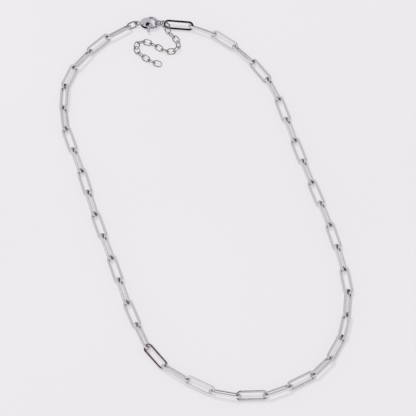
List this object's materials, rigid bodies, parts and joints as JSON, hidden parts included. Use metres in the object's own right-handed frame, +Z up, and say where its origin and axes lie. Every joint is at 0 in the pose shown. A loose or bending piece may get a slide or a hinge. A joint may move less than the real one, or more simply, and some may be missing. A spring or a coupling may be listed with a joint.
{
  "type": "paperclip chain necklace with lobster clasp and extender",
  "caption": "Closed chain of long oval wire links with a lobster clasp, a jump ring and a short adjusting chain.",
  "frame": {"origin": "middle of the chain's outline, on the surface that it lies on", "axes": "+Z up from the surface; +Y towards the clasp along the loop's long side; +X across the loop, to the right of the clasp as worn face up"},
  "size_m": [0.1288, 0.1692, 0.0036],
  "materials": {
    "steel_wire": "polished",
    "ring_steel": "polished",
    "extender_steel": "polished",
    "clasp_steel": "polished cast",
    "lever_steel": "polished cast",
    "rivet_steel": "brushed"
  },
  "bodies": {
    "necklace": {"link_01": "steel_wire", "link_02": "steel_wire", "link_03": "steel_wire", "link_04": "steel_wire", "link_05": "steel_wire", "link_06": "steel_wire", "link_07": "steel_wire", "link_08": "steel_wire", "link_09": "steel_wire", "link_10": "steel_wire", "link_11": "steel_wire", "link_12": "steel_wire", "link_13": "steel_wire", "link_14": "steel_wire", "link_15": "steel_wire", "link_16": "steel_wire", "link_17": "steel_wire", "link_18": "steel_wire", "link_19": "steel_wire", "link_20": "steel_wire", "link_21": "steel_wire", "link_22": "steel_wire", "link_23": "steel_wire", "link_24": "steel_wire", "link_25": "steel_wire", "link_26": "steel_wire", "link_27": "steel_wire", "link_28": "steel_wire", "link_29": "steel_wire", "link_30": "steel_wire", "link_31": "steel_wire", "link_32": "steel_wire", "link_33": "steel_wire", "link_34": "steel_wire", "link_35": "steel_wire", "link_36": "steel_wire", "link_37": "steel_wire", "link_38": "steel_wire", "link_39": "steel_wire", "link_40": "steel_wire", "link_41": "steel_wire", "link_42": "steel_wire", "short_link": "ring_steel", "clasp_body": "clasp_steel", "clasp_rivet": "rivet_steel", "hook_ring": "ring_steel", "jump_ring": "ring_steel", "extender_chain": "extender_steel"},
    "lever": {"clasp_lever": "lever_steel"}
  },
  "joints": [
    {"name": "lever_hinge", "type": "hinge", "parent": "necklace", "child": "lever", "pos_m": [-0.03505, 0.081, 0.00155], "axis": [0, 0, -1], "range_deg": [0, 22], "stiffness_Nm_per_rad": 0.003, "springref_deg": -17.19}
  ]
}
